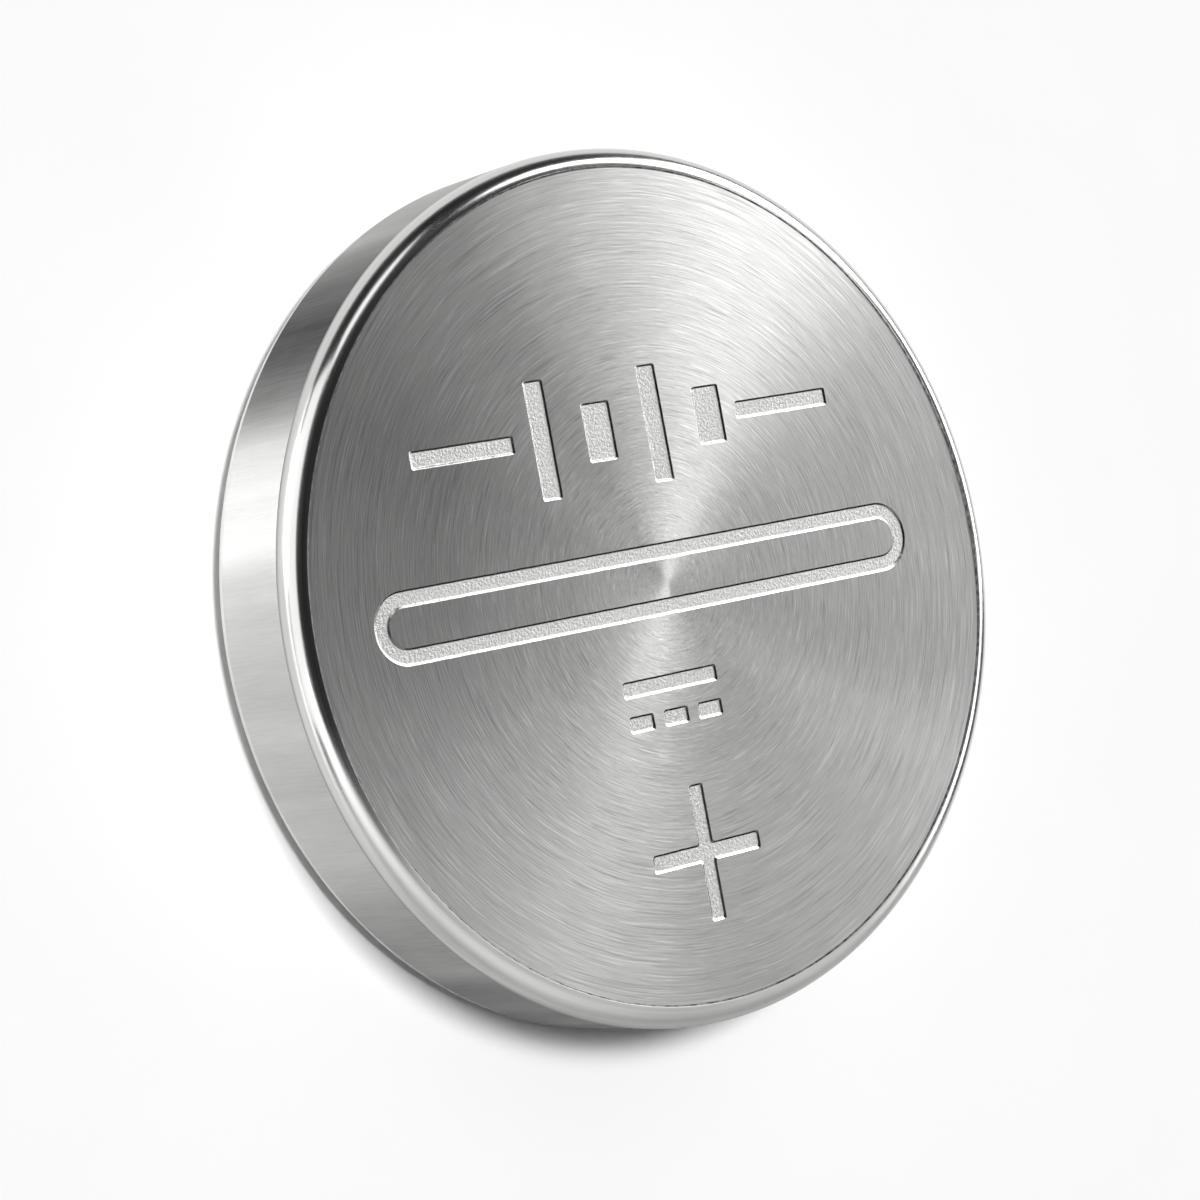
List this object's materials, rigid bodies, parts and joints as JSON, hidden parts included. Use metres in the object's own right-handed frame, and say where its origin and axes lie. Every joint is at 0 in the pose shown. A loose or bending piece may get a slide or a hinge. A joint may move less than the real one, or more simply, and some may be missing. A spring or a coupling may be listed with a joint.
{
  "type": "lithium coin cell",
  "caption": "Round flat coin cell: brushed steel can with a polished rim, crimped over a plastic gasket onto a smaller steel cap, with electrodes and separator sealed inside.",
  "frame": {"origin": "middle of the negative contact face, on the plane the cell lies on", "axes": "+Z along the cell's axis, from the negative face to the positive face; +X to the right and +Y to the top of the marks on the positive face"},
  "size_m": [0.0125, 0.0124, 0.002],
  "materials": {
    "can_steel": "face brushed in circles, rim bead polished, wall drawn smooth",
    "cap_steel": "satin",
    "gasket_plastic": "milky",
    "lithium_metal": "dull silver",
    "separator_felt": "felted",
    "cathode_mix": "matt, pressed powder",
    "grid_steel": "bright"
  },
  "bodies": {
    "root": {"positive_can": "can_steel", "negative_cap": "cap_steel", "gasket": "gasket_plastic", "lithium_anode": "lithium_metal", "separator": "separator_felt", "cathode_pellet": "cathode_mix", "current_collector": "grid_steel"}
  },
  "joints": []
}
